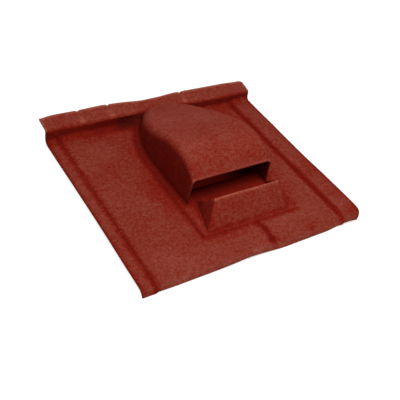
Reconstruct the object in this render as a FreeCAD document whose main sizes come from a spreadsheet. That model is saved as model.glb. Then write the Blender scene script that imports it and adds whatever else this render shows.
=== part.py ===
"""Roof tile vent: one coated sheet with a hooded mouth, a weir and lapped edges.

The tile is drawn with its nose on Y = 0, its middle on X = 0 and the top of the flat panel
on Z = 0, and is then placed so that its lowest edge stands on Z = 0 and its middle on the
origin. +X runs across the roof, +Y up the slope and +Z out of the roof.
"""
import FreeCAD, Part
import os
import re

import Sketcher

NODE = "vent_tile"
# Two points of a sketch closer than this are the same point.
POINT_MATCH = 0.001
# Straight steps in which the hollow turns each corner of the hood's crown.
BEND_STEPS = 3

# Driving dimensions, in millimetres and degrees.
SIZES = {
    # Panel, from the nose up to the step that hooks over the batten
    "panel_width": 445.0,
    "riser_y": 370.0,
    "ledge_depth": 32.0,
    "ledge_height": 24.0,
    "ledge_rise": 6.0,
    "sheet": 2.5,
    "nose_radius": 18.0,
    "nose_angle": 64.0,
    "foot_bend": 9.0,
    "ledge_bend": 7.0,
    # Side laps: the left one passes under the next tile, the right one over it
    "underlap_width": 24.5,
    "underlap_drop": 3.0,
    "overlap_width": 44.5,
    "overlap_rise": 3.5,
    "joggle_run": 3.5,
    "nose_corner": 14.0,
    "ledge_corner": 9.0,
    # Raised margin round the hood and the weir
    "hood_offset": 15.0,
    "margin_height": 3.0,
    "margin_width": 10.0,
    "margin_lead": 5.0,
    "margin_slope": 40.0,
    # Hood: its plan, then its crown line, measured from the step, then its corners
    "hood_width": 176.0,
    "hood_rear_width": 91.0,
    "shoulder_back": 125.0,
    "mouth_pinch": 2.5,
    "brow_run": 62.0,
    "peak_back": 173.0,
    "peak_height": 80.0,
    "crown_radius": 88.0,
    "crown_end": 26.9,
    "hood_reach": 15.0,
    "wall_draft": 4.0,
    "mouth_corner": 10.0,
    "rear_corner": 18.0,
    "hood_flare": 3.0,
    # Weir that keeps driven rain out of the mouth
    "weir_reach": 73.0,
    "weir_run": 36.0,
    "weir_height": 37.0,
    "weir_inset": 3.0,
    "weir_left_lean": 28.0,
    "weir_left_draw": 21.0,
    "weir_right_lean": 10.0,
    "weir_foot_corner": 6.0,
    "weir_top_corner": 2.5,
    # Throat that lets the air through the floor under the hood
    "throat_back": 30.0,
    "throat_length": 150.0,
    "throat_width": 130.0,
    "throat_corner": 15.0,
    # Knocks: crimps across the ledge and one crease in the panel
    "crimp_width": 9.0,
    "crimp_depth": 3.0,
    "crimp_start_depth": 0.6,
    "crease_x": 27.0,
    "crease_start": 14.0,
    "crease_width": 7.0,
    "crease_depth": 1.6,
}
CRIMP_PLACES = {"crimp_left": -150.0, "crimp_middle": -90.0, "crimp_right": 69.0}
# Places that follow from the sizes: the hood keeps to the step, the weir and the throat to the mouth.
CROWN_CENTRE_DROP = "(crown_end - peak_height + crown_radius)"
FOLLOWING = {
    "peak_y": "riser_y - peak_back",
    "mouth_y": "peak_y - brow_run",
    "hood_end": "riser_y + hood_reach",
    "hood_slope": (
        f"atan2(peak_back; {CROWN_CENTRE_DROP})"
        f" - acos(crown_radius / sqrt(peak_back ^ 2 + {CROWN_CENTRE_DROP} ^ 2))"
    ),
    "shoulder_y": "riser_y - shoulder_back",
    "shoulder_draw": "(hood_width - hood_rear_width) / 2",
    "shoulder_radius": "(shoulder_back ^ 2 + shoulder_draw ^ 2) / (2 * shoulder_draw)",
    "weir_front": "mouth_y - weir_reach",
    "weir_top_y": "weir_front + weir_run",
    "weir_width": "hood_width - 2 * weir_inset",
    "margin_front": "weir_front - margin_lead",
    "throat_front": "mouth_y + throat_back",
}


def make_sheet(doc):
    """Write the dimensions and what follows from them into a spreadsheet, one alias for each."""
    sheet = doc.addObject("Spreadsheet::Sheet", "sizes")
    cells = {alias: str(value) for alias, value in {**SIZES, **CRIMP_PLACES}.items()}
    cells.update({alias: f"={formula}" for alias, formula in FOLLOWING.items()})
    for row, (alias, content) in enumerate(cells.items(), start=1):
        sheet.set(f"A{row}", alias)
        sheet.set(f"B{row}", content)
        sheet.setAlias(f"B{row}", alias)
        doc.recompute()
    return sheet


def named(text):
    """Turn every alias in a formula into a reference to the sheet."""

    def refer(match):
        word = match.group()
        known = word in SIZES or word in CRIMP_PLACES or word in FOLLOWING
        return f"sizes.{word}" if known else word

    return re.sub("[a-z_]+", refer, text)


def origin_plane(body, role):
    """Find one of the body's own origin planes by its role."""
    return next(item for item in body.Origin.OriginFeatures if item.Role == role)


def new_sketch(body, name, role, offset="0"):
    """Start a sketch on an origin plane, moved along the plane's normal by a formula."""
    sketch = body.newObject("Sketcher::SketchObject", name)
    sketch.AttachmentSupport = [(origin_plane(body, role), "")]
    sketch.MapMode = "FlatFace"
    sketch.setExpression("AttachmentOffset.Base.z", named(offset))
    return sketch


def draw_outline(sketch, corners, bends=None):
    """Draw one closed outline whose corners and radii follow the sheet.

    corners: pairs of formulas, in order round the outline
    bends: for the side that starts at a corner's index, its radius as a formula and whether
        it turns left on the way to the next corner
    """
    bends = bends or {}
    points = []
    for across, up in corners:
        x = float(sketch.evalExpression(named(across)))
        y = float(sketch.evalExpression(named(up)))
        points.append(FreeCAD.Vector(x, y, 0))
    ends = []
    for index, start in enumerate(points):
        finish = points[(index + 1) % len(points)]
        if index in bends:
            formula, left_turn = bends[index]
            radius = float(sketch.evalExpression(named(formula)))
            curve = bend_between(start, finish, radius, left_turn)
            side = sketch.addGeometry(curve, False)
            forward = sketch.getPoint(side, 1).isEqual(start, POINT_MATCH)
            ends.append((side, 1, 2) if forward else (side, 2, 1))
        else:
            side = sketch.addGeometry(Part.LineSegment(start, finish), False)
            ends.append((side, 1, 2))
    for index, (side, first, last) in enumerate(ends):
        following, next_first, _ = ends[(index + 1) % len(ends)]
        sketch.addConstraint(Sketcher.Constraint("Coincident", side, last, following, next_first))
    for index, (side, first, _) in enumerate(ends):
        for kind, formula, value in (
            ("DistanceX", corners[index][0], points[index].x),
            ("DistanceY", corners[index][1], points[index].y),
        ):
            number = sketch.addConstraint(Sketcher.Constraint(kind, -1, 1, side, first, value))
            sketch.setExpression(f"Constraints[{number}]", named(formula))
        if index in bends:
            formula = bends[index][0]
            radius = float(sketch.evalExpression(named(formula)))
            number = sketch.addConstraint(Sketcher.Constraint("Radius", side, radius))
            sketch.setExpression(f"Constraints[{number}]", named(formula))
    return sketch


def bend_between(start, finish, radius, left_turn):
    """Make the shorter arc of a given radius from one point to another."""
    chord = finish - start
    half = chord.Length / 2
    middle = (start + finish) / 2
    side = FreeCAD.Vector(-chord.y, chord.x, 0).normalize()
    if not left_turn:
        side = side * -1
    rise = max(radius * radius - half * half, 0.0) ** 0.5
    centre = middle + side * rise
    crest = centre - side * radius
    return Part.Arc(start, crest, finish)


def sheet_outline(level):
    """Section of the sheet along the slope: nose, flat, riser and ledge.

    level: height of the flat's upper face, as a formula
    """
    nose_run = "nose_radius * sin(nose_angle)"
    inner_nose = "(nose_radius - sheet)"
    under = f"{level} - sheet"
    corners = [
        ("0", f"{level} - nose_radius * (1 - cos(nose_angle))"),
        (nose_run, level),
        ("riser_y - foot_bend", level),
        ("riser_y", f"{level} + foot_bend"),
        ("riser_y", "ledge_height - ledge_bend"),
        ("riser_y + ledge_bend", "ledge_height"),
        ("riser_y + ledge_depth", "ledge_height + ledge_rise"),
        ("riser_y + ledge_depth", "ledge_height + ledge_rise - sheet"),
        ("riser_y + ledge_bend", "ledge_height - sheet"),
        ("riser_y + sheet", "ledge_height - ledge_bend"),
        ("riser_y + sheet", f"{level} + foot_bend"),
        ("riser_y - foot_bend", under),
        (nose_run, under),
        (
            f"{nose_run} - {inner_nose} * sin(nose_angle)",
            f"{under} - {inner_nose} * (1 - cos(nose_angle))",
        ),
    ]
    bends = {
        0: ("nose_radius", False),
        2: ("foot_bend", True),
        4: ("ledge_bend", False),
        8: ("ledge_bend - sheet", True),
        10: ("foot_bend + sheet", False),
        12: ("nose_radius - sheet", True),
    }
    return corners, bends


def make_panel(body):
    """Carry the sheet's section across the tile: low strip, joggle, flat, joggle, high strip."""
    left_step = "- panel_width / 2 + underlap_width"
    right_step = "panel_width / 2 - overlap_width"
    places = [
        ("- panel_width / 2", "- underlap_drop"),
        (f"{left_step} - joggle_run / 2", "- underlap_drop"),
        (f"{left_step} + joggle_run / 2", "0"),
        (f"{right_step} - joggle_run / 2", "0"),
        (f"{right_step} + joggle_run / 2", "overlap_rise"),
        ("panel_width / 2", "overlap_rise"),
    ]
    sections = []
    for number, (across, level) in enumerate(places, start=1):
        sketch = new_sketch(body, f"sheet_section_{number}", "YZ_Plane", across)
        sections.append(draw_outline(sketch, *sheet_outline(level)))
    panel = body.newObject("PartDesign::AdditiveLoft", "panel")
    panel.Profile = sections[0]
    panel.Sections = sections[1:]
    panel.Ruled = True


def margin_outline(inset, rear):
    """Plan of the raised margin, drawn in by an inset: straight sides, then in to its rear."""
    half = f"(hood_width / 2 + margin_width - {inset})"
    bend = f"(shoulder_radius + margin_width - {inset})"
    reach = f"({rear} - shoulder_y)"
    draw_in = f"({bend} - sqrt({bend} * {bend} - {reach} * {reach}))"
    corners = [
        (f"hood_offset - {half}", f"margin_front + {inset}"),
        (f"hood_offset + {half}", f"margin_front + {inset}"),
        (f"hood_offset + {half}", "shoulder_y"),
        (f"hood_offset + {half} - {draw_in}", rear),
        (f"hood_offset - {half} + {draw_in}", rear),
        (f"hood_offset - {half}", "shoulder_y"),
    ]
    bends = {2: (bend, True), 4: (bend, True)}
    return corners, bends


def make_margin(body):
    """Press the margin up out of the flat: a raised face above and its hollow below."""
    rear = "(riser_y + sheet / 2)"
    foot = new_sketch(body, "margin_foot", "XY_Plane", "- sheet / 2")
    draw_outline(foot, *margin_outline("(- sheet / 2 * tan(margin_slope))", rear))
    top = new_sketch(body, "margin_top", "XY_Plane", "margin_height")
    draw_outline(top, *margin_outline("(margin_height * tan(margin_slope))", rear))
    margin = body.newObject("PartDesign::AdditiveLoft", "margin")
    margin.Profile = foot
    margin.Sections = [top]
    margin.Ruled = True
    hollow = new_sketch(body, "margin_hollow_plan", "XY_Plane", "margin_height - sheet")
    draw_outline(hollow, *margin_outline("sheet", "riser_y"))
    pocket = body.newObject("PartDesign::Pocket", "margin_hollow")
    pocket.Profile = hollow
    pocket.setExpression("Length", named("margin_height + sheet"))


def hood_station(place, wall):
    """Cross-section of the hood at one place along the slope, drawn in by a wall.

    place: a pair of formulas, the place along Y and the crown's height there
    wall: the sheet for the hollow, whose crown corners turn in straight steps, or 0 for the
        outside, whose crown corners are arcs and whose walls turn out at their feet
    """
    along, crown = place
    beyond = f"max({along} - shoulder_y; 0)"
    draw_in = f"(shoulder_radius - sqrt(shoulder_radius * shoulder_radius - {beyond} * {beyond}))"
    pinch = f"mouth_pinch * max(peak_y - {along}; 0) / (peak_y - mouth_y)"
    share = f"({along} - mouth_y) / (hood_end - mouth_y)"
    half = f"(hood_width / 2 - {draw_in} - {pinch} - {wall})"
    height = f"({crown} - {wall})"
    bend = f"(mouth_corner + (rear_corner - mouth_corner) * {share} - {wall})"
    bend_centre = f"{half} - {height} * tan(wall_draft) - {bend} * tan(45 - wall_draft / 2)"
    flare = "hood_flare" if wall == "0" else "0"
    flare_top = f"(margin_height + {flare})"
    right_side = [(f"({half} - {flare_top} * tan(wall_draft))", flare_top)]
    if wall == "0":
        foot = f"({half} - margin_height * tan(wall_draft) + hood_flare + sheet / 2)"
        right_side.insert(0, (foot, "(margin_height - sheet / 2)"))
    steps = 1 if wall == "0" else BEND_STEPS
    for step in range(steps + 1):
        turn = f"(wall_draft + (90 - wall_draft) * {step} / {steps})"
        right_side.append(
            (f"({bend_centre} + {bend} * cos({turn}))", f"{height} - {bend} * (1 - sin({turn}))")
        )
    corners = [(f"hood_offset + {shift}", level) for shift, level in right_side]
    corners += [(f"hood_offset - {shift}", level) for shift, level in reversed(right_side)]
    bends = {2: (bend, True), 4: (bend, True)} if wall == "0" else {}
    return corners, bends


def hood_places(last):
    """Places of the hood's cross-sections: the round brow, then the straight slope."""
    brow_end = "(peak_y + crown_radius * sin(hood_slope))"
    brow_height = "(peak_height - crown_radius * (1 - cos(hood_slope)))"
    places = []
    for along in ("mouth_y", "(mouth_y + peak_y) / 2", "peak_y"):
        back = f"({along} - peak_y)"
        dip = f"(crown_radius - sqrt(crown_radius * crown_radius - {back} * {back}))"
        places.append((f"({along})", f"(peak_height - {dip})"))
    for share in ("0", "1 / 3", "2 / 3", "1"):
        along = f"({brow_end} + ({last} - {brow_end}) * {share})"
        places.append((along, f"({brow_height} - ({along} - {brow_end}) * tan(hood_slope))"))
    return places


def loft_hood(body, name, kind, last, wall):
    """Loft the hood's outer or inner form through its cross-sections."""
    sections = []
    for number, place in enumerate(hood_places(last), start=1):
        sketch = new_sketch(body, f"{name}_{number}", "XZ_Plane", f"- {place[0]}")
        sections.append(draw_outline(sketch, *hood_station(place, wall)))
    loft = body.newObject(kind, name)
    loft.Profile = sections[0]
    loft.Sections = sections[1:]


def weir_sides():
    """Front, rear, left, right and rear left of the weir's outside and of its hollow, at foot and top."""
    rise = "(weir_height - margin_height)"
    run = "(weir_top_y - weir_front)"
    left_foot = "hood_offset - weir_width / 2"
    right_foot = "hood_offset + weir_width / 2"
    left_top = f"{left_foot} + weir_left_lean"
    right_top = f"{right_foot} - weir_right_lean"
    front_wall = f"sheet * sqrt({run} * {run} + {rise} * {rise}) / {rise}"
    left_wall = f"sheet * sqrt(weir_left_lean * weir_left_lean + {rise} * {rise}) / {rise}"
    right_wall = f"sheet * sqrt(weir_right_lean * weir_right_lean + {rise} * {rise}) / {rise}"
    outer = {
        "foot": ("weir_front", "mouth_y", left_foot, right_foot, f"{left_foot} + weir_left_draw"),
        "top": ("weir_top_y", f"weir_top_y + {front_wall}", left_top, right_top, left_top),
    }
    inner = {}
    for level, (front, _, left, right, rear_left) in outer.items():
        inner[level] = (
            f"{front} + {front_wall}",
            "mouth_y + sheet",
            f"{left} + {left_wall}",
            f"{right} - {right_wall}",
            f"{rear_left} + {left_wall}",
        )
    return outer, inner


def weir_outline(sides, corner):
    """Plan of the weir at one level; without a corner radius its front corners are sharp."""
    front, rear, left, right, rear_left = sides
    if corner is None:
        return [(left, front), (right, front), (right, rear), (rear_left, rear)], {}
    corners = [
        (f"{left} + {corner}", front),
        (f"{right} - {corner}", front),
        (right, f"{front} + {corner}"),
        (right, rear),
        (rear_left, rear),
        (left, f"{front} + {corner}"),
    ]
    return corners, {1: (corner, True), 5: (corner, True)}


def loft_weir(body, name, kind, foot, top):
    """Loft the weir's outer or inner form; foot and top are each a plan's outline."""
    loft = body.newObject(kind, name)
    loft.Profile = draw_outline(new_sketch(body, f"{name}_foot", "XY_Plane", "margin_height"), *foot)
    loft.Sections = [draw_outline(new_sketch(body, f"{name}_top", "XY_Plane", "weir_height"), *top)]
    loft.Ruled = True


def make_hood(body):
    """Outer form of the hood and of the leaning weir that folds back to the mouth's two sides."""
    loft_hood(body, "hood", "PartDesign::AdditiveLoft", "hood_end", "0")
    outer, _ = weir_sides()
    foot = weir_outline(outer["foot"], "weir_foot_corner")
    top = weir_outline(outer["top"], "weir_top_corner")
    loft_weir(body, "weir", "PartDesign::AdditiveLoft", foot, top)


def hollow_hood(body):
    """Clear the space under the ledge, under the hood as far as the riser, and behind the weir."""
    under_ledge = new_sketch(body, "ledge_hollow_section", "YZ_Plane", "- panel_width / 2")
    draw_outline(
        under_ledge,
        [
            ("riser_y + sheet", "margin_height - sheet"),
            ("riser_y + ledge_depth", "margin_height - sheet"),
            ("riser_y + ledge_depth", "ledge_height + ledge_rise - sheet"),
            ("riser_y + ledge_bend", "ledge_height - sheet"),
            ("riser_y + sheet", "ledge_height - ledge_bend"),
        ],
        {3: ("ledge_bend - sheet", True)},
    )
    hollow = body.newObject("PartDesign::Pocket", "ledge_hollow")
    hollow.Profile = under_ledge
    hollow.Reversed = True
    hollow.setExpression("Length", named("panel_width"))
    loft_hood(body, "hood_hollow", "PartDesign::SubtractiveLoft", "riser_y", "sheet")
    _, inner = weir_sides()
    foot = weir_outline(inner["foot"], None)
    top = weir_outline(inner["top"], None)
    loft_weir(body, "weir_hollow", "PartDesign::SubtractiveLoft", foot, top)


def make_throat(body):
    """Opening in the floor under the hood, with round corners."""
    half = "throat_width / 2"
    left = f"hood_offset - {half}"
    right = f"hood_offset + {half}"
    rear = "throat_front + throat_length"
    sketch = new_sketch(body, "throat_plan", "XY_Plane", "margin_height")
    corners = [
        (f"{left} + throat_corner", "throat_front"),
        (f"{right} - throat_corner", "throat_front"),
        (right, "throat_front + throat_corner"),
        (right, f"{rear} - throat_corner"),
        (f"{right} - throat_corner", rear),
        (f"{left} + throat_corner", rear),
        (left, f"{rear} - throat_corner"),
        (left, "throat_front + throat_corner"),
    ]
    bends = {side: ("throat_corner", True) for side in (1, 3, 5, 7)}
    draw_outline(sketch, corners, bends)
    pocket = body.newObject("PartDesign::Pocket", "throat")
    pocket.Profile = sketch
    pocket.setExpression("Length", named("margin_height + sheet"))


def trim_corner(body, name, along, inward, radius):
    """Round one right-hand corner of the sheet in plan.

    along: the corner's place along Y, as a formula
    inward: +1 where the tile lies further up the slope, -1 where it lies below
    """
    edge = "panel_width / 2"
    sketch = new_sketch(body, f"{name}_plan", "XY_Plane", "ledge_height + ledge_rise")
    corners = [
        (edge, f"{along} + {inward} * {radius}"),
        (f"{edge} - {radius}", along),
        (edge, along),
    ]
    draw_outline(sketch, corners, {0: (radius, inward < 0)})
    pocket = body.newObject("PartDesign::Pocket", name)
    pocket.Profile = sketch
    pocket.Type = "ThroughAll"
    return pocket


def crimp_section(body, name, place, along, level, depth):
    """One V across a crimp, as wide for its depth as the crimp is at the ledge's rear edge."""
    half = f"({depth} * crimp_width / crimp_depth / 2)"
    sketch = new_sketch(body, name, "XZ_Plane", f"- ({along})")
    corners = [
        (f"{place} - {half}", level),
        (place, f"{level} - {depth}"),
        (f"{place} + {half}", level),
    ]
    return draw_outline(sketch, corners)


def crimp_ledge(body, place):
    """Fold a V across the ledge that deepens to the rear: a rib below, then the groove above."""
    for name, kind, root in (
        (f"{place}_rib", "PartDesign::AdditiveLoft", "sheet / 2"),
        (f"{place}_groove", "PartDesign::SubtractiveLoft", "0"),
    ):
        start = crimp_section(
            body,
            f"{name}_start",
            place,
            "riser_y + ledge_bend",
            f"ledge_height - {root}",
            f"(crimp_start_depth + {root})",
        )
        finish = crimp_section(
            body,
            f"{name}_finish",
            place,
            "riser_y + ledge_depth",
            f"ledge_height + ledge_rise - {root}",
            f"(crimp_depth + {root})",
        )
        fold = body.newObject(kind, name)
        fold.Profile = start
        fold.Sections = [finish]
        fold.Ruled = True


def crease_panel(body):
    """Press one straight crease into the panel between the nose and the weir."""
    sketch = new_sketch(body, "crease_section", "XZ_Plane", "- margin_front")
    corners = [
        ("crease_x - crease_width / 2", "0"),
        ("crease_x", "- crease_depth"),
        ("crease_x + crease_width / 2", "0"),
    ]
    draw_outline(sketch, corners)
    crease = body.newObject("PartDesign::Pocket", "crease")
    crease.Profile = sketch
    crease.Reversed = True
    crease.setExpression("Length", named("margin_front - crease_start"))


def make_tile(doc):
    """Build the whole tile in one body and stand it on its lowest edge."""
    body = doc.addObject("PartDesign::Body", NODE)
    body.Label = NODE
    make_hood(body)
    make_panel(body)
    make_margin(body)
    hollow_hood(body)
    make_throat(body)
    trim_corner(body, "nose_corner_round", "0", 1, "nose_corner")
    trim_corner(body, "ledge_corner_round", "riser_y + ledge_depth", -1, "ledge_corner")
    for place in CRIMP_PLACES:
        crimp_ledge(body, place)
    crease_panel(body)
    depth = "underlap_drop + nose_radius * (1 - cos(nose_angle)) + sheet * cos(nose_angle)"
    body.setExpression("Placement.Base.y", named("- (riser_y + ledge_depth) / 2"))
    body.setExpression("Placement.Base.z", named(depth))
    doc.recompute()
    return body


def check(doc, bodies):
    """Stop if any object failed or any sub-part isn't one valid solid."""
    for item in doc.Objects:
        if "Invalid" in item.State or "Error" in item.State:
            raise RuntimeError(f"{item.Name} failed: {item.State}")
    for body in bodies:
        shape = body.Shape
        if shape.isNull() or not shape.isValid() or len(shape.Solids) != 1:
            raise RuntimeError(f"{body.Label} is not one valid solid")


def main():
    """Build the document, check it and write one file for each sub-part."""
    doc = FreeCAD.newDocument("roof_tile_vent")
    make_sheet(doc)
    bodies = [make_tile(doc)]
    check(doc, bodies)
    os.makedirs("parts", exist_ok=True)
    for body in bodies:
        body.Shape.exportStep(f"parts/{body.Label}.step")
        box = body.Shape.optimalBoundingBox()
        print(f"{body.Label}: {box.XLength:.1f} x {box.YLength:.1f} x {box.ZLength:.1f} mm")
        print(f"{body.Label}: {body.Shape.Volume / 1000:.1f} cm3, lowest at {box.ZMin:.3f} mm")


main()
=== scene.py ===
"""Dress the roof tile vent: one pressed sheet with a bonded stone-chip coat, on a pale floor."""
import logging
import math
from collections.abc import Iterable
from dataclasses import dataclass
from enum import Enum, IntEnum
from typing import Any

import bmesh
import bpy
import numpy as np
from mathutils import Matrix, Vector
from mathutils.bvhtree import BVHTree
from mathutils.kdtree import KDTree


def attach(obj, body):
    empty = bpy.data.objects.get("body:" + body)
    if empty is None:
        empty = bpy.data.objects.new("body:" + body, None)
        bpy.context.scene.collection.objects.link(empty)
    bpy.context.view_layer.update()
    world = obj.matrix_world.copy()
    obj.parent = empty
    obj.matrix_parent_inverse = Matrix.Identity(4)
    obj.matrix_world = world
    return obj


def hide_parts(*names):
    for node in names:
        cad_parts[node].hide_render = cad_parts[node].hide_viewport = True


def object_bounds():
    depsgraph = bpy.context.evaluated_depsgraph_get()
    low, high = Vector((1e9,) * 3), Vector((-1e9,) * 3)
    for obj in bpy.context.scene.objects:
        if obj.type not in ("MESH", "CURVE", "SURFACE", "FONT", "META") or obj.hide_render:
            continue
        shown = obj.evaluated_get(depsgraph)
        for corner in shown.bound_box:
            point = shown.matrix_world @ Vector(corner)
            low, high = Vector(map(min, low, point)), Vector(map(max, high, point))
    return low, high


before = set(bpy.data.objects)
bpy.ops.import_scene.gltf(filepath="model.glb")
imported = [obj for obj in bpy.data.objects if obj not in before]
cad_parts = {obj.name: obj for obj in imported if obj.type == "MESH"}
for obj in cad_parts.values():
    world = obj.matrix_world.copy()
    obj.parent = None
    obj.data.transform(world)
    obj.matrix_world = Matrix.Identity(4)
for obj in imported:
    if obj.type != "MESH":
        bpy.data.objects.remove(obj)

Colour = tuple[float, float, float, float]
Point = tuple[float, float, float]
Span = tuple[float, float]
Tints = tuple[tuple[float, str], ...]

CAD_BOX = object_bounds()
LOG = logging.getLogger("vent_tile")
NODE = "vent_tile"
BODY = "root"
MM = 0.001
# The drawing's own zero lines: the nose edge along Y and the flat panel's upper face along Z.
NOSE_Y = CAD_BOX[0].y
PANEL_Z = 0.0142053
LENGTH_MM = (CAD_BOX[1].y - CAD_BOX[0].y) / MM
HALF_WIDTH_MM = CAD_BOX[1].x / MM
WHITE: Colour = (1.0, 1.0, 1.0, 1.0)
# Brick reds of the crushed stone by tone, which is 0 where painted shade is deepest and 1 where it is palest.
STONE_TINTS: Tints = (
    (0.0, "#6E0A00"), (0.3, "#821706"), (0.52, "#883223"), (0.75, "#944437"), (1.0, "#A85B4F"),
)
# Stone in the open has this tone and sees this share of the sky. Less sky darkens it by this painted shade.
OPEN_TONE = 0.52
OPEN_SHARE = 0.95
STONE_SHELTER_SHADE = 0.75
# Mean of a noise or a random value between 0 and 1.
MEAN = 0.5
# A mix node's colour sockets by number, because their names also stand for its other kinds of value.
MIX_FIRST = 6
MIX_SECOND = 7
MIX_RESULT = 2


class Coat(IntEnum):
    """The sheet's two finishes, numbered as its material slots."""

    WEATHER = 0
    UNDER = 1


class Edge(Enum):
    """The sheet's four outer edges, each with the axis and the way in which it lies further in."""

    REAR = (1, -1)
    NOSE = (1, 1)
    LEFT = (0, 1)
    RIGHT = (0, -1)


class Marks(str, Enum):
    """Attributes that the sheet and the chips carry for their finishes."""

    WEATHER = "weather_side"
    OPEN_SKY = "open_sky"
    EDGE_GAP = "edge_gap"
    FOLD_GAP = "fold_gap"
    PAINTED_SHADE_AND_PALE = "painted_shade_and_pale"
    CHIP_TINT = "chip_tint"


def linear(code: str) -> Colour:
    """Turn an sRGB hex colour into a linear one.

    Args:
        code: six hex digits, with or without a leading hash.

    Returns:
        Red, green, blue and an alpha of one.
    """
    digits = code.lstrip("#")
    shares = [int(digits[start:start + 2], 16) / 255 for start in (0, 2, 4)]
    parts = [s / 12.92 if s <= 0.04045 else ((s + 0.055) / 1.055) ** 2.4 for s in shares]
    return parts[0], parts[1], parts[2], 1.0


def add_node(tree: bpy.types.NodeTree, kind: str, inputs: dict[Any, Any] | None = None,
             **settings: Any) -> bpy.types.Node:
    """Add one node with its settings, values and links.

    Args:
        tree: the node tree that gets it.
        kind: the node's type name.
        inputs: for an input's name or number, a value or the socket that feeds it.
        settings: attributes of the node.

    Returns:
        The new node.
    """
    node = tree.nodes.new(kind)
    for name, value in settings.items():
        setattr(node, name, value)
    for key, value in (inputs or {}).items():
        socket = node.inputs[key]
        if isinstance(value, bpy.types.NodeSocket):
            tree.links.new(value, socket)
        else:
            socket.default_value = value
    return node


def weighted_sum(
    tree: bpy.types.NodeTree, start: float, parts: Iterable[tuple[bpy.types.NodeSocket, float]],
) -> bpy.types.NodeSocket:
    """Add up sockets by their shares.

    Args:
        tree: the tree that gets the sum.
        start: a number to begin with.
        parts: sockets, each with the share that it counts for.

    Returns:
        The sum's socket.
    """
    total = start
    for socket, share in parts:
        step = add_node(tree, "ShaderNodeMath", {0: socket, 1: share, 2: total}, operation="MULTIPLY_ADD")
        total = step.outputs[0]
    return total


def fill_ramp(node: bpy.types.Node, stops: Tints) -> None:
    """Give a colour ramp its stops.

    Args:
        node: a colour ramp node.
        stops: places from 0 to 1, each with an sRGB hex colour.
    """
    elements = node.color_ramp.elements
    while len(elements) > len(stops):
        elements.remove(elements[-1])
    while len(elements) < len(stops):
        elements.new(1.0)
    for element, (place, code) in zip(elements, stops):
        element.position = place
        element.color = linear(code)


def smooth_step(values: np.ndarray, low: float, high: float) -> np.ndarray:
    """Rise smoothly from 0 at low to 1 at high."""
    share = np.clip((values - low) / (high - low), 0.0, 1.0)
    return share * share * (3.0 - 2.0 * share)


def read_points(mesh: bpy.types.Mesh) -> np.ndarray:
    """Read a mesh's points.

    Args:
        mesh: any mesh.

    Returns:
        One row of X, Y and Z in metres for each point.
    """
    places = np.zeros(len(mesh.vertices) * 3, np.float32)
    mesh.vertices.foreach_get("co", places)
    return places.reshape(-1, 3).astype(float)


def set_points(mesh: bpy.types.Mesh, places: np.ndarray) -> None:
    """Move a mesh's points, and hold them inside the solid's box.

    Args:
        mesh: the mesh to change.
        places: one row for each of its points.
    """
    held = np.clip(places, np.array(CAD_BOX[0]), np.array(CAD_BOX[1]))
    mesh.vertices.foreach_set("co", held.astype(np.float32).ravel())
    mesh.update()


def empty_tree(owner: bpy.types.Material | bpy.types.World) -> bpy.types.NodeTree:
    """Give a material or a world a node tree with nothing in it.

    Args:
        owner: the material or the world.

    Returns:
        Its tree.
    """
    owner.use_nodes = True
    owner.node_tree.nodes.clear()
    return owner.node_tree


def new_material(name: str) -> tuple[bpy.types.Material, bpy.types.NodeTree, bpy.types.Node]:
    """Start a material with an empty tree and a linked Principled shader.

    Args:
        name: the finish's common name.

    Returns:
        The material, its tree and its shader node.
    """
    material = bpy.data.materials.new(name)
    tree = empty_tree(material)
    shader = add_node(tree, "ShaderNodeBsdfPrincipled")
    add_node(tree, "ShaderNodeOutputMaterial", {"Surface": shader.outputs["BSDF"]})
    return material, tree, shader


def seen_rays(tree: bpy.types.NodeTree) -> bpy.types.NodeSocket:
    """Tell which rays show the background as such: from the camera, by reflection or through glass.

    Args:
        tree: a shader tree.

    Returns:
        A socket that is 1 for those rays and 0 for the others.
    """
    rays = add_node(tree, "ShaderNodeLightPath").outputs
    direct = add_node(tree, "ShaderNodeMath", {
        0: rays["Is Camera Ray"], 1: rays["Is Glossy Ray"]}, operation="MAXIMUM")
    every = add_node(tree, "ShaderNodeMath", {
        0: direct.outputs[0], 1: rays["Is Transmission Ray"]}, operation="MAXIMUM")
    return every.outputs[0]


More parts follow.
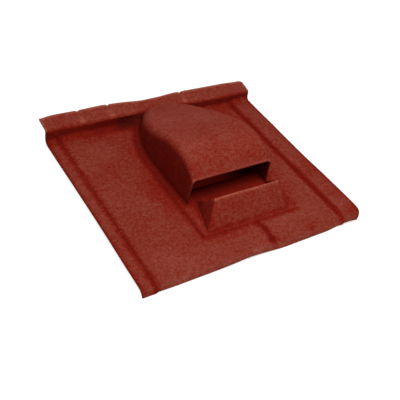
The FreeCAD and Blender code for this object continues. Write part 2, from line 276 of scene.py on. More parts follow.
@dataclass(frozen=True)
class StoneChipCoat:
    """Crushed stone bonded in acrylic: matt and granular, with mottled brick reds.

    The real grit is under 1 mm and would not show at this size of picture, so its cells are drawn
    coarser than they are. Rims that look up are paler, partly from wear and partly as a painted highlight.
    Folds, sheltered places and the sheet's marked streaks and side edges are darker with painted shade.
    """

    name: str = "bonded_stone_grit"
    tints: Tints = STONE_TINTS
    dust_and_highlight: str = "#B5624F"
    grit_mm: float = 2.4
    grit_share: float = 0.27
    blotch_mm: float = 7.0
    blotch_detail: float = 3.0
    blotch_roughness: float = 0.6
    blotch_share: float = 0.58
    drift_mm: float = 60.0
    drift_detail: float = 2.0
    drift_share: float = 0.4
    painted_shade: float = STONE_SHELTER_SHADE
    fold_shade_mm: float = 8.0
    fold_shade: float = 0.27
    wear_highlight_mm: float = 7.0
    wear_highlight: float = 1.5
    wear_highlight_sky: Span = (0.45, 0.9)
    deep_shade_range: Span = (-0.9, -0.45)
    deep_shade: float = 0.45
    relief_mm: float = 0.5
    relief_strength: float = 0.6
    roughness: float = 0.92
    specular: float = 0.15

    def build(self) -> bpy.types.Material:
        """Make the coat's material for the sheet's weather side.

        Returns:
            The material, which reads the sheet's own marks.
        """
        material, tree, shader = new_material(self.name)
        place = add_node(tree, "ShaderNodeTexCoord").outputs["Object"]
        grit = add_node(tree, "ShaderNodeTexVoronoi", {"Vector": place, "Scale": 1 / (self.grit_mm * MM)})
        grain = add_node(tree, "ShaderNodeSeparateColor", {"Color": grit.outputs["Color"]}).outputs["Red"]
        blotch = add_node(tree, "ShaderNodeTexNoise", {
            "Vector": place, "Scale": 1 / (self.blotch_mm * MM),
            "Detail": self.blotch_detail, "Roughness": self.blotch_roughness}).outputs["Fac"]
        drift = add_node(tree, "ShaderNodeTexNoise", {
            "Vector": place, "Scale": 1 / (self.drift_mm * MM), "Detail": self.drift_detail}).outputs["Fac"]
        marks = {
            mark: add_node(tree, "ShaderNodeAttribute", attribute_name=mark.value).outputs["Fac"]
            for mark in (Marks.OPEN_SKY, Marks.FOLD_GAP, Marks.EDGE_GAP, Marks.PAINTED_SHADE_AND_PALE)
        }
        ramp = add_node(tree, "ShaderNodeValToRGB", {"Fac": self.tone(tree, marks, (grain, blotch, drift))})
        fill_ramp(ramp, self.tints)
        # Rims that look up go toward a pale colour: partly wear, partly a painted highlight.
        dusty_and_highlit = add_node(tree, "ShaderNodeMix", {
            "Factor": self.rubbed_and_highlit(tree, marks, blotch), MIX_FIRST: ramp.outputs["Color"],
            MIX_SECOND: linear(self.dust_and_highlight)}, data_type="RGBA")
        # Where the painted shade marks are deepest, the colour is scaled darker still: more painted shade.
        clear = add_node(tree, "ShaderNodeMapRange", {
            "Value": marks[Marks.PAINTED_SHADE_AND_PALE], "From Min": self.deep_shade_range[0], "From Max": self.deep_shade_range[1],
            "To Min": self.deep_shade, "To Max": 1.0})
        deep_shaded = add_node(tree, "ShaderNodeVectorMath", {
            0: dusty_and_highlit.outputs[MIX_RESULT], "Scale": clear.outputs["Result"]}, operation="SCALE")
        height = add_node(tree, "ShaderNodeMath", {
            0: blotch, 1: grit.outputs["Distance"]}, operation="SUBTRACT")
        bump = add_node(tree, "ShaderNodeBump", {
            "Height": height.outputs[0], "Strength": self.relief_strength, "Distance": self.relief_mm * MM})
        tree.links.new(deep_shaded.outputs[0], shader.inputs["Base Color"])
        tree.links.new(bump.outputs["Normal"], shader.inputs["Normal"])
        shader.inputs["Roughness"].default_value = self.roughness
        shader.inputs["Specular IOR Level"].default_value = self.specular
        return material

    def tone(
        self, tree: bpy.types.NodeTree, marks: dict[Marks, bpy.types.NodeSocket],
        patterns: tuple[bpy.types.NodeSocket, ...],
    ) -> bpy.types.NodeSocket:
        """Add up what makes the coat paler or darker: grain, marks, and painted shade in shelter and folds.

        Args:
            tree: the coat's tree.
            marks: the sheet's marks, each with the socket that reads it.
            patterns: the grit's grain, the blotches and the slow drift.

        Returns:
            A socket with the tone, a place on the ramp of tints.
        """
        # Painted shade near folds; the sky share below adds painted shade in sheltered places.
        off_fold = add_node(tree, "ShaderNodeMapRange", {
            "Value": marks[Marks.FOLD_GAP], "From Min": 0.0, "From Max": self.fold_shade_mm * MM},
            interpolation_type="SMOOTHSTEP")
        shares = (self.grit_share, self.blotch_share, self.drift_share)
        start = OPEN_TONE - MEAN * sum(shares) - OPEN_SHARE * self.painted_shade - self.fold_shade
        return weighted_sum(tree, start, [
            *zip(patterns, shares),
            (marks[Marks.OPEN_SKY], self.painted_shade),
            (off_fold.outputs["Result"], self.fold_shade),
            (marks[Marks.PAINTED_SHADE_AND_PALE], 1.0),
        ])

    def rubbed_and_highlit(
        self, tree: bpy.types.NodeTree, marks: dict[Marks, bpy.types.NodeSocket],
        blotch: bpy.types.NodeSocket,
    ) -> bpy.types.NodeSocket:
        """Work out how much paler the rims that look up are: partly wear, partly a painted highlight.

        Args:
            tree: the coat's tree.
            marks: the sheet's marks, each with the socket that reads it.
            blotch: the pattern that makes the wear patchy.

        Returns:
            A socket with the share of the pale colour, for wear and painted highlight.
        """
        wear_highlight = add_node(tree, "ShaderNodeMapRange", {
            "Value": marks[Marks.EDGE_GAP], "From Min": 0.0, "From Max": self.wear_highlight_mm * MM,
            "To Min": self.wear_highlight, "To Max": 0.0}, interpolation_type="SMOOTHSTEP")
        patchy = add_node(tree, "ShaderNodeMath", {
            0: wear_highlight.outputs["Result"], 1: blotch}, operation="MULTIPLY")
        upward = add_node(tree, "ShaderNodeMapRange", {
            "Value": marks[Marks.OPEN_SKY], "From Min": self.wear_highlight_sky[0], "From Max": self.wear_highlight_sky[1]})
        dust_and_highlight = add_node(tree, "ShaderNodeMath", {
            0: patchy.outputs[0], 1: upward.outputs["Result"]}, operation="MULTIPLY")
        return dust_and_highlight.outputs[0]


@dataclass(frozen=True)
class LooseChip:
    """The larger stone chips that stand proud of the grit: crushed, matt, each of its own tint."""

    name: str = "crushed_stone_chip"
    tints: Tints = STONE_TINTS
    spread: float = 0.5
    painted_shade: float = STONE_SHELTER_SHADE
    roughness: float = 0.9
    specular: float = 0.15

    def build(self) -> bpy.types.Material:
        """Make the chips' material.

        Returns:
            The material, which reads each chip's tint and the marks of the place that it sits on.
        """
        material, tree, shader = new_material(self.name)
        # Chips take the same painted shade as the coat: less sky and the sheet's marks make them darker.
        shares = {Marks.CHIP_TINT: self.spread, Marks.OPEN_SKY: self.painted_shade, Marks.PAINTED_SHADE_AND_PALE: 1.0}
        parts = [
            (add_node(tree, "ShaderNodeAttribute", attribute_name=mark.value).outputs["Fac"], share)
            for mark, share in shares.items()
        ]
        start = OPEN_TONE - MEAN * self.spread - OPEN_SHARE * self.painted_shade
        ramp = add_node(tree, "ShaderNodeValToRGB", {"Fac": weighted_sum(tree, start, parts)})
        fill_ramp(ramp, self.tints)
        tree.links.new(ramp.outputs["Color"], shader.inputs["Base Color"])
        shader.inputs["Roughness"].default_value = self.roughness
        shader.inputs["Specular IOR Level"].default_value = self.specular
        return material


@dataclass(frozen=True)
class BaseCoat:
    """Rolled acrylic base coat on the sheltered side: smooth, satin, faintly uneven."""

    name: str = "acrylic_base_coat"
    # These dark reds are partly painted shade for the hood's unlit inside.
    tints: Tints = ((0.3, "#5E0E07"), (0.7, "#6A150C"))
    cloud_mm: float = 28.0
    cloud_detail: float = 4.0
    peel_mm: float = 2.0
    peel_detail: float = 1.0
    relief_mm: float = 0.08
    relief_strength: float = 0.4
    roughness: float = 0.6
    specular: float = 0.35

    def build(self) -> bpy.types.Material:
        """Make the material for the sheet's underside and the hood's inside.

        Returns:
            The material.
        """
        material, tree, shader = new_material(self.name)
        place = add_node(tree, "ShaderNodeTexCoord").outputs["Object"]
        cloud = add_node(tree, "ShaderNodeTexNoise", {
            "Vector": place, "Scale": 1 / (self.cloud_mm * MM), "Detail": self.cloud_detail})
        ramp = add_node(tree, "ShaderNodeValToRGB", {"Fac": cloud.outputs["Fac"]})
        fill_ramp(ramp, self.tints)
        peel = add_node(tree, "ShaderNodeTexNoise", {
            "Vector": place, "Scale": 1 / (self.peel_mm * MM), "Detail": self.peel_detail})
        bump = add_node(tree, "ShaderNodeBump", {
            "Height": peel.outputs["Fac"], "Strength": self.relief_strength, "Distance": self.relief_mm * MM})
        tree.links.new(ramp.outputs["Color"], shader.inputs["Base Color"])
        tree.links.new(bump.outputs["Normal"], shader.inputs["Normal"])
        shader.inputs["Roughness"].default_value = self.roughness
        shader.inputs["Specular IOR Level"].default_value = self.specular
        return material


@dataclass(frozen=True)
class PaperFloor:
    """Matt pale paper: white where it is seen, with a painted soft shadow close under the tile.

    Below the throat a painted dark patch with a painted dim red glow stands for the shade inside the hood
    that the open mouth shows. From below it is clear, so that the tile's underside can be looked at.
    Sizes are in metres.
    """

    name: str = "pale_paper_floor"
    colour: str = "#D8D6D3"
    # Below the throat: a painted dark patch and a painted dim red glow, which stand for shade in the hood.
    throat_colour: str = "#902A1E"
    throat_glow: str = "#360602"
    throat_dark: str = "#080101"
    throat_fade: Span = (0.03, 0.088)
    throat_middle: Point = (-0.01, 0.03, 0.0)
    throat_reach: Point = (0.17, 0.125, 1.0)
    throat_edge: Span = (0.75, 1.05)
    # Painted shadow under the tile, from how much the tile covers a place.
    shade_colour: str = "#2A2523"
    shade_reach: float = 0.25
    shade_range: Span = (0.02, 0.42)
    seen_share: float = 0.8
    seen_strength: float = 1.25

    def build(self) -> bpy.types.Material:
        """Make the floor's material.

        Returns:
            The material.
        """
        material = bpy.data.materials.new(self.name)
        tree = empty_tree(material)
        place = add_node(tree, "ShaderNodeTexCoord").outputs["Object"]
        beyond = self.beyond_throat(tree, place)
        tone = add_node(tree, "ShaderNodeMix", {
            "Factor": beyond, MIX_FIRST: linear(self.throat_colour),
            MIX_SECOND: linear(self.colour)}, data_type="RGBA")
        paper = add_node(tree, "ShaderNodeBsdfDiffuse", {"Color": tone.outputs[MIX_RESULT]})
        glow = add_node(tree, "ShaderNodeEmission", {
            "Color": self.seen_colour(tree, place, beyond), "Strength": self.seen_strength})
        part = add_node(tree, "ShaderNodeMath", {
            0: seen_rays(tree), 1: self.seen_share}, operation="MULTIPLY")
        mixed = add_node(tree, "ShaderNodeMixShader", {
            0: part.outputs[0], 1: paper.outputs[0], 2: glow.outputs[0]})
        behind = add_node(tree, "ShaderNodeNewGeometry").outputs["Backfacing"]
        clear = add_node(tree, "ShaderNodeBsdfTransparent")
        one_way = add_node(tree, "ShaderNodeMixShader", {
            0: behind, 1: mixed.outputs[0], 2: clear.outputs[0]})
        add_node(tree, "ShaderNodeOutputMaterial", {"Surface": one_way.outputs[0]})
        return material

    def beyond_throat(
        self, tree: bpy.types.NodeTree, place: bpy.types.NodeSocket,
    ) -> bpy.types.NodeSocket:
        """Tell how far outside the round patch below the throat a place lies.

        Args:
            tree: the floor's tree.
            place: the place on the floor.

        Returns:
            A socket that is 0 in the patch and 1 outside it, with a soft edge.
        """
        from_middle = add_node(tree, "ShaderNodeVectorMath", {
            0: place, 1: self.throat_middle}, operation="SUBTRACT")
        scaled = add_node(tree, "ShaderNodeVectorMath", {
            0: from_middle.outputs[0], 1: self.throat_reach}, operation="DIVIDE")
        gap = add_node(tree, "ShaderNodeVectorMath", {0: scaled.outputs[0]}, operation="LENGTH")
        beyond = add_node(tree, "ShaderNodeMapRange", {
            "Value": gap.outputs["Value"], "From Min": self.throat_edge[0], "From Max": self.throat_edge[1]},
            interpolation_type="SMOOTHSTEP")
        return beyond.outputs["Result"]

    def seen_colour(
        self, tree: bpy.types.NodeTree, place: bpy.types.NodeSocket, beyond: bpy.types.NodeSocket,
    ) -> bpy.types.NodeSocket:
        """Colour the floor white, with a painted shadow under the tile and a painted dim glow below the
        throat.

        Args:
            tree: the floor's tree.
            place: the place on the floor.
            beyond: how far outside the patch below the throat it lies.

        Returns:
            A socket with the colour.
        """
        # Painted shadow: white darkens where the tile covers the floor.
        cover = add_node(tree, "ShaderNodeAmbientOcclusion", {"Distance": self.shade_reach})
        open_floor = add_node(tree, "ShaderNodeMapRange", {
            "Value": cover.outputs["AO"], "From Min": self.shade_range[0], "From Max": self.shade_range[1]},
            interpolation_type="SMOOTHSTEP")
        shaded = add_node(tree, "ShaderNodeMix", {
            "Factor": open_floor.outputs["Result"], MIX_FIRST: linear(self.shade_colour),
            MIX_SECOND: WHITE}, data_type="RGBA")
        across = add_node(tree, "ShaderNodeSeparateXYZ", {0: place})
        # Painted dim red glow towards one side of the patch, painted dark towards the other.
        painted_shade = add_node(tree, "ShaderNodeMapRange", {
            "Value": across.outputs["X"], "From Min": self.throat_fade[0], "From Max": self.throat_fade[1]})
        depth = add_node(tree, "ShaderNodeMix", {
            "Factor": painted_shade.outputs["Result"], MIX_FIRST: linear(self.throat_glow),
            MIX_SECOND: linear(self.throat_dark)}, data_type="RGBA")
        seen = add_node(tree, "ShaderNodeMix", {
            "Factor": beyond, MIX_FIRST: depth.outputs[MIX_RESULT],
            MIX_SECOND: shaded.outputs[MIX_RESULT]}, data_type="RGBA")
        return seen.outputs[MIX_RESULT]


@dataclass(frozen=True)
class Knock:
    """One uneven place: where along its edge it is, how far it spreads and how it moves the sheet, in mm."""

    edge: Edge
    place: float
    reach: float
    inward: float = 0.0
    lift: float = 0.0


@dataclass(frozen=True)
class Ripple:
    """One slow unevenness of the sheet, made of two slanted waves that are multiplied.

    Each wave has its lengths along X and along Y and its start. The height and the lengths are in mm.
    """

    height: float
    first: Point
    second: Point

    def rise(self, x: np.ndarray, y: np.ndarray) -> np.ndarray:
        """Give the wave's height at places in plan.

        Args:
            x: places across the sheet, in mm.
            y: places along it, in mm.

        Returns:
            The height at each place, in mm.
        """
        waves = [np.sin(x / across + y / along + start) for across, along, start in (self.first, self.second)]
        return self.height * waves[0] * waves[1]


@dataclass(frozen=True)
class ShadeStreak:
    """One dark streak of painted shade: its two ends in plan, its reach, its depth and its highest place, in
    mm.
    """

    start: Span
    end: Span
    reach: float
    depth: float
    top: float = math.inf

    def tone(self, place: Vector) -> float:
        """Tell how much darker the streak makes a place that is given in mm.

        Args:
            place: X from the middle, Y from the nose and Z over the panel.

        Returns:
            A loss of tone, zero away from the streak.
        """
        if place.z > self.top:
            return 0.0
        first, last, here = (Vector(point) for point in (self.start, self.end, place.xy))
        run = last - first
        share = (here - first).dot(run) / run.length_squared
        gap = (here - first.lerp(last, min(1.0, max(0.0, share)))).length
        return self.depth * math.exp(-((gap / self.reach) ** 2))


@dataclass
class CoatedSheet:
    """The pressed sheet itself, cut into a fine grid and made as uneven as a used tile.

    The first sizes cut and soften the mesh, the next ones find the marks that its finishes read, and the
    last ones make it uneven.
    """

    merge_mm: float = 0.002
    grid_mm: float = 6.0
    wall_grid_mm: float = 9.0
    cut_mm: float = 0.01
    softness: float = 0.3
    crease_angle: float = math.radians(50)
    edge_angle: float = math.radians(55)
    fold_angle: float = math.radians(20)
    edge_step_mm: float = 3.0
    sky_rays: int = 32
    sky_start_mm: float = 0.6
    weather_share: float = 0.36
    upward: float = 0.5
    overhang: float = -0.3
    wear_highlight_from_mm: float = 20.0
    fold_shade_to_mm: float = 16.0
    # Paler by the nose; darker by the side edges as painted shade of their rims.
    nose_pale_mm: float = 11.0
    nose_pale: float = 0.26
    side_dark_mm: float = 5.0
    side_dark: float = 0.42
    # Streaks of painted shade: the crease, dents by the nose, the riser by the hood, the weir, the right lap.
    shade_streaks: tuple[ShadeStreak, ...] = (
        ShadeStreak((21, 56), (28, 38), 5, 0.3),
        ShadeStreak((28, 38), (25, 14), 5, 0.34),
        ShadeStreak((25, 13), (25, 12), 7, 0.35),
        ShadeStreak((110, 12), (112, 12), 7, 0.3),
        ShadeStreak((-120, 368), (-45, 368), 10, 0.3, top=20),
        ShadeStreak((-75, 368), (-45, 368), 12, 0.6, top=20),
        ShadeStreak((-215, 368), (-130, 368), 9, 0.12, top=8),
        ShadeStreak((10, 79), (76, 77), 16, 0.07),
        ShadeStreak((180, 160), (180, 20), 4, 0.2),
        ShadeStreak((205, 14), (214, 14), 16, 0.18),
        ShadeStreak((208, 60), (208, 170), 16, 0.08),
    )
    ledge_y_mm: float = 372.0
    nose_reach_mm: float = 26.0
    side_reach_mm: float = 30.0
    knocks: tuple[Knock, ...] = (
        Knock(Edge.REAR, -222, 14, lift=-3.2),
        Knock(Edge.REAR, -110, 34, lift=1.3),
        Knock(Edge.REAR, -16, 34, lift=-4.0),
        Knock(Edge.REAR, 26, 18, lift=-1.6),
        Knock(Edge.REAR, 205, 22, lift=-1.8),
        Knock(Edge.NOSE, -150, 40, lift=-1.2),
        Knock(Edge.NOSE, -28, 30, inward=0.8, lift=2.4),
        Knock(Edge.NOSE, 45, 26, lift=-3.0),
        Knock(Edge.NOSE, 95, 36, lift=-3.0),
        Knock(Edge.NOSE, 137, 18, lift=-2.0),
        Knock(Edge.NOSE, 163, 10, lift=1.8),
        Knock(Edge.NOSE, 216, 14, lift=-4.0),
        Knock(Edge.LEFT, 190, 130, inward=1.3),
        Knock(Edge.RIGHT, 200, 90, inward=1.9),
    )
    ripples: tuple[Ripple, ...] = (
        Ripple(0.35, (31, 57, 0.4), (-71, 43, 1.1)),
        Ripple(0.21, (17, -29, 2.3), (37, 23, 0.0)),
    )

    def build(self) -> bpy.types.Object:
        """Make the dressed sheet from a merged copy of the solid's mesh.

        Returns:
            The sheet's object, which stands for the solid.
        """
        form = self.merged_copy()
        self.cut_grid(form)
        folds = self.line_gaps(form, (-math.pi, -self.fold_angle), (-math.inf, self.fold_shade_to_mm))
        edges = self.line_gaps(form, (self.edge_angle, math.pi), (self.wear_highlight_from_mm, math.inf))
        painted_shade_and_pale = [self.painted_shade_and_pale(vertex.co) for vertex in form.verts]
        self.soften_bends(form)
        sky = self.open_sky(form)
        weather = [self.is_weather_side(face, sky) for face in form.faces]
        mesh = bpy.data.meshes.new("coated_sheet")
        for face, open_side in zip(form.faces, weather):
            face.smooth = True
            face.material_index = Coat.WEATHER if open_side else Coat.UNDER
        form.to_mesh(mesh)
        form.free()
        for mark, domain, values in (
            (Marks.EDGE_GAP, "POINT", edges),
            (Marks.FOLD_GAP, "POINT", folds),
            (Marks.PAINTED_SHADE_AND_PALE, "POINT", painted_shade_and_pale),
            (Marks.OPEN_SKY, "POINT", sky),
            (Marks.WEATHER, "FACE", weather),
        ):
            layer = mesh.attributes.new(mark.value, "FLOAT", domain)
            layer.data.foreach_set("value", np.array(values, np.float32))
        self.warp(mesh)
        mesh.set_sharp_from_angle(angle=self.crease_angle)
        mesh.materials.append(StoneChipCoat().build())
        mesh.materials.append(BaseCoat().build())
        sheet = bpy.data.objects.new("coated_sheet", mesh)
        bpy.context.scene.collection.objects.link(sheet)
        return sheet

    def merged_copy(self) -> bmesh.types.BMesh:
        """Copy the solid's mesh with its doubled points merged.

        Returns:
            The closed form, with plain points and faces and nothing else on them.
        """
        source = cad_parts[NODE].data
        form = bmesh.new()
        points = [form.verts.new(vertex.co) for vertex in source.vertices]
        form.verts.ensure_lookup_table()
        for polygon in source.polygons:
            form.faces.new([points[index] for index in polygon.vertices])
        bmesh.ops.remove_doubles(form, verts=form.verts[:], dist=self.merge_mm * MM)
        bmesh.ops.dissolve_degenerate(form, edges=form.edges[:], dist=self.merge_mm * MM)
        return form

    def cut_grid(self, form: bmesh.types.BMesh) -> None:
        """Cut the form along even planes, so that it can bend between its own corners.

        Args:
            form: the merged form.
        """
        low, high = CAD_BOX
        for axis, step in ((0, self.grid_mm * MM), (1, self.grid_mm * MM), (2, self.wall_grid_mm * MM)):
            normal = Vector((0, 0, 0))
            normal[axis] = 1
            for place in np.arange(low[axis] + step / 2, high[axis], step):
                middle = Vector((0, 0, 0))
                middle[axis] = place
                crossed = [face for face in form.faces if self.crosses(face, axis, place)]
                parts = crossed + list({edge for face in crossed for edge in face.edges})
                parts += list({vertex for face in crossed for vertex in face.verts})
                bmesh.ops.bisect_plane(
                    form, geom=parts, dist=self.cut_mm * MM, plane_co=middle, plane_no=normal)
        form.verts.index_update()
        form.faces.index_update()
        form.normal_update()

    @staticmethod
    def crosses(face: bmesh.types.BMFace, axis: int, place: float) -> bool:
        """Tell whether a face has points on both sides of a plane."""
        places = [vertex.co[axis] for vertex in face.verts]
        return min(places) < place < max(places)

    def soften_bends(self, form: bmesh.types.BMesh) -> None:
        """Round the bends, as a thick coat does, and leave the sheet's cut edges as they are.

        Args:
            form: the gridded form.
        """
        fixed = set()
        for edge in form.edges:
            if edge.calc_face_angle(math.pi) > self.edge_angle:
                fixed.update(edge.verts)
        free = [vertex for vertex in form.verts if vertex not in fixed]
        bmesh.ops.smooth_vert(
            form, verts=free, factor=self.softness, use_axis_x=True, use_axis_y=True, use_axis_z=True)
        form.normal_update()

    def is_weather_side(self, face: bmesh.types.BMFace, sky: list[float]) -> bool:
        """Tell whether a face carries the stone coat: it looks up, or the open sky reaches it.

        Args:
            face: a face of the gridded form.
            sky: each point's share of the sky.

        Returns:
            Whether the face is on the coated side.
        """
        if face.normal.z > self.upward:
            return True
        brightest = max(sky[vertex.index] for vertex in face.verts)
        return face.normal.z > self.overhang and brightest > self.weather_share

    def painted_shade_and_pale(self, place: Vector) -> float:
        """Tell how much paler the coat is by the nose, or darker with painted shade by a side edge or in a
        streak.

        Args:
            place: a point of the sheet.

        Returns:
            A change of tone, above zero where the coat is paler.
        """
        here = Vector((place.x, place.y - NOSE_Y, place.z - PANEL_Z)) / MM
        from_side = HALF_WIDTH_MM - abs(here.x)
        pale = self.nose_pale * max(0.0, 1.0 - here.y / self.nose_pale_mm)
        dark = self.side_dark * max(0.0, 1.0 - from_side / self.side_dark_mm)
        return pale - dark - sum(one_streak.tone(here) for one_streak in self.shade_streaks)

    def line_gaps(self, form: bmesh.types.BMesh, turns: Span, heights: Span) -> list[float]:
        """Measure how far each point lies from the nearest line at which the form turns.

        Args:
            form: the gridded form.
            turns: least and largest turn that counts, in radians: above zero at an edge, below in a fold.
            heights: least and largest height over the panel that counts, in mm.

        Returns:
            One distance in metres for each point, in order.
        """
        places = []
        for edge in form.edges:
            height = (edge.verts[0].co.z - PANEL_Z) / MM
            if len(edge.link_faces) != 2 or not heights[0] < height < heights[1]:
                continue
            if turns[0] < edge.calc_face_angle_signed(0.0) < turns[1]:
                first, last = (vertex.co for vertex in edge.verts)
                steps = max(1, int((last - first).length / (self.edge_step_mm * MM)))
                places += [first.lerp(last, share / steps) for share in range(steps + 1)]
        tree = KDTree(len(places))
        for number, place in enumerate(places):
            tree.insert(place, number)
        tree.balance()
        return [tree.find(vertex.co)[2] for vertex in form.verts]

    def open_sky(self, form: bmesh.types.BMesh) -> list[float]:
        """Measure how much of the light from an even sky reaches each point.

        Args:
            form: the gridded form.

        Returns:
            One share for each point, in order: 1 on open level ground, about half on an upright wall.
        """
        tree = BVHTree.FromBMesh(form)
        golden_angle = math.pi * (3.0 - math.sqrt(5.0))
        rays = []
        for number in range(self.sky_rays):
            share = (number + 0.5) / self.sky_rays
            flat = math.sqrt(share)
            angle = golden_angle * number
            rays.append(Vector((flat * math.cos(angle), flat * math.sin(angle), math.sqrt(1 - share))))
        shares = []
        for vertex in form.verts:
            lean = Vector((0, 0, 1)).rotation_difference(vertex.normal)
            start = vertex.co + vertex.normal * self.sky_start_mm * MM
            seen = 0
            for ray in rays:
                way = lean @ ray
                if way.z > 0 and tree.ray_cast(start, way)[0] is None:
                    seen += 1
            shares.append(seen / self.sky_rays)
        return shares

    def warp(self, mesh: bpy.types.Mesh) -> None:
        """Make the sheet and its edges uneven, inside the solid's own box.

        Args:
            mesh: the sheet's mesh.
        """
        places = read_points(mesh)
        x = places[:, 0] / MM
        y = (places[:, 1] - NOSE_Y) / MM
        near = {
            Edge.REAR: smooth_step(y, self.ledge_y_mm, LENGTH_MM),
            Edge.NOSE: 1.0 - smooth_step(y, 0.0, self.nose_reach_mm),
            Edge.LEFT: 1.0 - smooth_step(x + HALF_WIDTH_MM, 0.0, self.side_reach_mm),
            Edge.RIGHT: smooth_step(x, HALF_WIDTH_MM - self.side_reach_mm, HALF_WIDTH_MM),
        }
        shift = np.zeros_like(places)
        for knock in self.knocks:
            axis, turn = knock.edge.value
            along = y if axis == 0 else x
            amount = near[knock.edge] * np.exp(-(((along - knock.place) / knock.reach) ** 2))
            shift[:, axis] += turn * knock.inward * amount
            shift[:, 2] += knock.lift * amount
        for ripple in self.ripples:
            shift[:, 2] += ripple.rise(x, y)
        set_points(mesh, places + shift * MM)


@dataclass
class StoneChips:
    """Chips of crushed stone scattered over the weather side by one geometry tree."""

    count: int = 12000
    length_mm: float = 2.2
    height_mm: float = 0.9
    sides: int = 5
    foot_share: float = 0.5
    top_share: float = 0.24
    sunk_share: float = 0.45
    least_size: Point = (0.55, 0.55, 0.6)
    largest_size: Point = (1.2, 1.2, 1.15)
    tilt: float = 0.35
    seed: int = 7

    def tree(self) -> bpy.types.GeometryNodeTree:
        """Build the tree that scatters chips on a mesh's marked faces.

        Returns:
            A geometry tree whose inputs are the chips' density, sizes, seed and material.
        """
        tree = bpy.data.node_groups.new("scatter_stone_chips", "GeometryNodeTree")
        self.add_sockets(tree)
        given = add_node(tree, "NodeGroupInput").outputs
        mark = add_node(
            tree, "GeometryNodeInputNamedAttribute", {"Name": Marks.WEATHER.value}, data_type="FLOAT")
        dense = add_node(tree, "ShaderNodeMath", {
            0: mark.outputs[0], 1: given["Density"]}, operation="MULTIPLY")
        points = add_node(tree, "GeometryNodeDistributePointsOnFaces", {
            "Mesh": given["Sheet"], "Density": dense.outputs[0], "Seed": given["Seed"]})
        size = add_node(tree, "FunctionNodeRandomValue", {
            0: self.least_size, 1: self.largest_size, "Seed": given["Seed"]}, data_type="FLOAT_VECTOR")
        placed = add_node(tree, "GeometryNodeInstanceOnPoints", {
            "Points": points.outputs["Points"], "Instance": self.one_chip(tree, given),
            "Rotation": points.outputs["Rotation"], "Scale": size.outputs[0]})
        spin = add_node(tree, "FunctionNodeRandomValue", {
            0: (-self.tilt, -self.tilt, 0.0), 1: (self.tilt, self.tilt, math.tau),
            "Seed": given["Seed"]}, data_type="FLOAT_VECTOR")
        turned = add_node(tree, "GeometryNodeRotateInstances", {
            "Instances": placed.outputs[0], "Rotation": spin.outputs[0]})
        tint = add_node(tree, "FunctionNodeRandomValue", {"Seed": given["Seed"]}, data_type="FLOAT")
        marked = add_node(tree, "GeometryNodeStoreNamedAttribute", {
            "Geometry": turned.outputs[0], "Name": Marks.CHIP_TINT.value, "Value": tint.outputs[1]},
            data_type="FLOAT", domain="INSTANCE")
        real = add_node(tree, "GeometryNodeRealizeInstances", {"Geometry": marked.outputs[0]})
        done = add_node(tree, "GeometryNodeSetMaterial", {
            "Geometry": real.outputs[0], "Material": given["Finish"]})
        add_node(tree, "NodeGroupOutput", {"Chips": done.outputs[0]})
        return tree

    @staticmethod
    def add_sockets(tree: bpy.types.GeometryNodeTree) -> None:
        """Give the tree its named inputs and its output.

        Args:
            tree: the tree, still empty.
        """
        face = tree.interface
        face.new_socket("Sheet", in_out="INPUT", socket_type="NodeSocketGeometry")
        for name in ("Density", "Length", "Height"):
            face.new_socket(name, in_out="INPUT", socket_type="NodeSocketFloat")
        face.new_socket("Seed", in_out="INPUT", socket_type="NodeSocketInt")
        face.new_socket("Finish", in_out="INPUT", socket_type="NodeSocketMaterial")
        face.new_socket("Chips", in_out="OUTPUT", socket_type="NodeSocketGeometry")

    def one_chip(
        self, tree: bpy.types.GeometryNodeTree, given: bpy.types.bpy_prop_collection,
    ) -> bpy.types.NodeSocket:
        """Make one blunt chip, sunk into the coat by part of its height.

        Args:
            tree: the scattering tree.
            given: the sockets of the tree's inputs.

        Returns:
            The socket of the chip's mesh.
        """
        foot = add_node(tree, "ShaderNodeMath", {
            0: given["Length"], 1: self.foot_share}, operation="MULTIPLY")
        top = add_node(tree, "ShaderNodeMath", {
            0: given["Length"], 1: self.top_share}, operation="MULTIPLY")
        chip = add_node(tree, "GeometryNodeMeshCone", {
            "Vertices": self.sides, "Radius Top": top.outputs[0], "Radius Bottom": foot.outputs[0],
            "Depth": given["Height"]})
        sunk = add_node(tree, "ShaderNodeMath", {
            0: given["Height"], 1: -self.sunk_share}, operation="MULTIPLY")
        drop = add_node(tree, "ShaderNodeCombineXYZ", {"Z": sunk.outputs[0]})
        seated = add_node(tree, "GeometryNodeTransform", {
            "Geometry": chip.outputs["Mesh"], "Translation": drop.outputs[0]})
        return seated.outputs[0]

    def build(self, sheet: bpy.types.Object) -> bpy.types.Object:
        """Scatter the chips on the sheet and keep them as a plain mesh.

        Args:
            sheet: the dressed sheet, with its weather side marked.

        Returns:
            The chips' own object.
        """
        area = sum(face.area for face in sheet.data.polygons if face.material_index == Coat.WEATHER)
        carrier = bpy.data.objects.new("chip_carrier", sheet.data.copy())
        bpy.context.scene.collection.objects.link(carrier)
        scatter = carrier.modifiers.new("scatter", "NODES")
        scatter.node_group = self.tree()
        sizes = {
            "Density": self.count / area,
            "Length": self.length_mm * MM,
            "Height": self.height_mm * MM,
            "Seed": self.seed,
            "Finish": LooseChip().build(),
        }
        for item in scatter.node_group.interface.items_tree:
            if item.in_out == "INPUT" and item.name in sizes:
                scatter[item.identifier] = sizes[item.name]
        evaluated = carrier.evaluated_get(bpy.context.evaluated_depsgraph_get())
        mesh = bpy.data.meshes.new_from_object(evaluated)
        mesh.name = "stone_chips"
        bpy.data.objects.remove(carrier)
        set_points(mesh, read_points(mesh))
        chips = bpy.data.objects.new("stone_chips", mesh)
        bpy.context.scene.collection.objects.link(chips)
        return chips


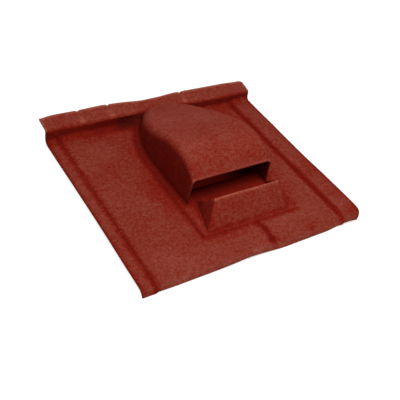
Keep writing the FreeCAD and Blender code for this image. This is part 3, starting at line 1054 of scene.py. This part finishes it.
@dataclass
class Studio:
    """Pale floor, white surroundings, one wide soft light overhead and a little light from all round.

    Sizes and places are in metres.
    """

    floor_size: float = 8.0
    floor_gap: float = 0.05 * MM
    ambient: float = 0.12
    ambient_colour: str = "#F4F2EE"
    key_power: float = 16.6
    key_size: float = 0.9
    key_place: Point = (-0.05, -0.38, 1.35)

    def build(self) -> None:
        """Set the floor, the surroundings and the lamp."""
        self.make_floor()
        self.make_world()
        self.make_key()

    def make_floor(self) -> None:
        """Lay the floor just under the tile."""
        half = self.floor_size / 2
        corners = [(-half, -half, 0.0), (half, -half, 0.0), (half, half, 0.0), (-half, half, 0.0)]
        mesh = bpy.data.meshes.new("floor")
        mesh.from_pydata(corners, [], [(0, 1, 2, 3)])
        mesh.materials.append(PaperFloor().build())
        floor = bpy.data.objects.new("floor", mesh)
        bpy.context.scene.collection.objects.link(floor)
        floor.location.z = -self.floor_gap

    def make_world(self) -> None:
        """Set plain soft light from all round, and white where the surroundings are seen."""
        world = bpy.data.worlds.new("white_room")
        tree = empty_tree(world)
        soft = add_node(tree, "ShaderNodeBackground", {
            "Color": linear(self.ambient_colour), "Strength": self.ambient})
        white = add_node(tree, "ShaderNodeBackground", {"Color": WHITE, "Strength": 1.0})
        mixed = add_node(tree, "ShaderNodeMixShader", {
            0: seen_rays(tree), 1: soft.outputs[0], 2: white.outputs[0]})
        add_node(tree, "ShaderNodeOutputWorld", {"Surface": mixed.outputs[0]})
        bpy.context.scene.world = world

    def make_key(self) -> None:
        """Hang the wide soft lamp over the tile."""
        lamp = bpy.data.lights.new("overhead_softbox", "AREA")
        lamp.shape = "DISK"
        lamp.size = self.key_size
        lamp.energy = self.key_power
        key = bpy.data.objects.new("overhead_softbox", lamp)
        key.location = self.key_place
        key.rotation_mode = "QUATERNION"
        key.rotation_quaternion = (-Vector(self.key_place)).to_track_quat("-Z", "Y")
        bpy.context.scene.collection.objects.link(key)


@dataclass(frozen=True)
class PhotoCamera:
    """The camera as worked out from the photograph: places in metres in the tile's frame, lens in mm."""

    place: Point = (-0.5637, -0.6621, 0.7164)
    right: Point = (0.8349, -0.5206, 0.1786)
    up: Point = (0.2434, 0.6403, 0.7286)
    lens: float = 56.09
    sensor: float = 36.0
    nearest: float = 0.01

    def build(self) -> None:
        """Set up the camera and make it the scene's own."""
        data = bpy.data.cameras.new("photo_camera")
        data.lens = self.lens
        data.sensor_width = self.sensor
        data.clip_start = self.nearest
        camera = bpy.data.objects.new("photo_camera", data)
        right = Vector(self.right).normalized()
        back = right.cross(Vector(self.up)).normalized()
        up = back.cross(right)
        turn = Matrix((right, up, back)).transposed().to_4x4()
        camera.matrix_world = Matrix.Translation(Vector(self.place)) @ turn
        bpy.context.scene.collection.objects.link(camera)
        bpy.context.scene.camera = camera


def main() -> None:
    """Build the camera, the studio and the dressed tile, and report each piece."""
    logging.basicConfig(level=logging.INFO, format="%(name)s: %(message)s")
    bpy.context.scene.view_settings.view_transform = "Standard"
    PhotoCamera().build()
    Studio().build()
    sheet = CoatedSheet().build()
    chips = StoneChips().build(sheet)
    for piece in (sheet, chips):
        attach(piece, BODY)
        triangles = sum(len(face.vertices) - 2 for face in piece.data.polygons)
        LOG.info("%s: %d triangles", piece.name, triangles)
    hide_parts(NODE)


if __name__ == "__main__":
    main()
